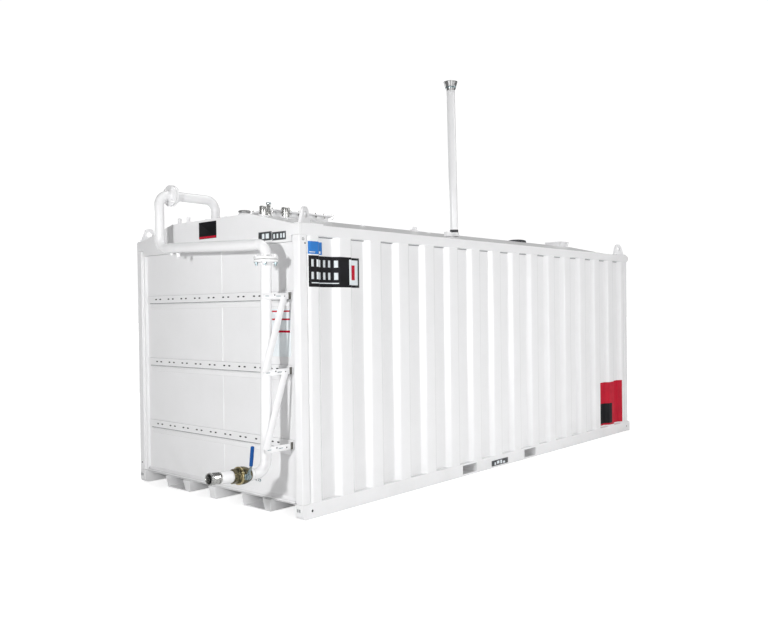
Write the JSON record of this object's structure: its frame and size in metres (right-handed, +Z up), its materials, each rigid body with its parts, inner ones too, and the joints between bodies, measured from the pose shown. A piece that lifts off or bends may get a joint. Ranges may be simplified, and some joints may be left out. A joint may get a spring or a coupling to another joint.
{
  "type": "diesel fuel tank",
  "caption": "Container-format double-skin diesel tank: corrugated white steel shell on runners, fill pipe with ball valve on one end, roof fittings and a tall vent.",
  "frame": {"origin": "on the ground at the middle of the frame, on the underside of the centre runner", "axes": "+Z up, +Y along the tank away from the fill pipe's end, +X across it towards the long side that the fill pipe stands near"},
  "size_m": [2.438, 6.901, 4.164],
  "materials": {
    "white_paint": "semi-gloss white paint on steel",
    "brass": "cast and machined",
    "bare_steel": "machined",
    "blue_vinyl": "dipped sleeve",
    "cast_alloy": "dull cast",
    "dark_cap": "matt"
  },
  "bodies": {
    "tank": {"bottom_rail_right": "white_paint", "bottom_rail_left": "white_paint", "top_rail_right": "white_paint", "top_rail_left": "white_paint", "side_wall_right": "white_paint", "side_wall_left": "white_paint", "end_pocket_right": "white_paint", "end_pocket_left": "white_paint", "post_front_right": "white_paint", "post_front_left": "white_paint", "post_rear_right": "white_paint", "post_rear_left": "white_paint", "lifting_lug_front_right": "white_paint", "lifting_lug_front_left": "white_paint", "lifting_lug_rear_right": "white_paint", "lifting_lug_rear_left": "white_paint", "end_wall_front": "white_paint", "end_wall_rear": "white_paint", "front_header": "white_paint", "roof_panel": "white_paint", "rear_deck": "white_paint", "floor_panel": "white_paint", "centre_runner": "white_paint", "drilled_strap_upper": "white_paint", "drilled_strap_middle": "white_paint", "drilled_strap_lower": "white_paint", "pipe_bracket_upper": "white_paint", "pipe_bracket_middle": "white_paint", "pipe_bracket_lower": "white_paint", "pipe_strut_upper": "white_paint", "pipe_strut_lower": "white_paint", "standpipe": "white_paint", "cross_pipe": "white_paint", "roof_pipe": "white_paint", "valve_body": "brass", "pipe_sleeve": "white_paint", "hose_nipple": "bare_steel", "manway_neck": "white_paint", "manway_cover": "white_paint", "filler_cap_front": "bare_steel", "filler_cap_rear": "bare_steel", "vent_pipe": "white_paint", "vent_cap": "cast_alloy", "round_hatch": "dark_cap", "box_hatch": "white_paint"},
    "lever": {"valve_lever": "bare_steel", "lever_grip": "blue_vinyl"}
  },
  "joints": [
    {"name": "valve_turn", "type": "hinge", "parent": "tank", "child": "lever", "pos_m": [1.1123, -3.4954, 0.42709], "axis": [1, 0, 0], "range_deg": [0, 90]}
  ]
}
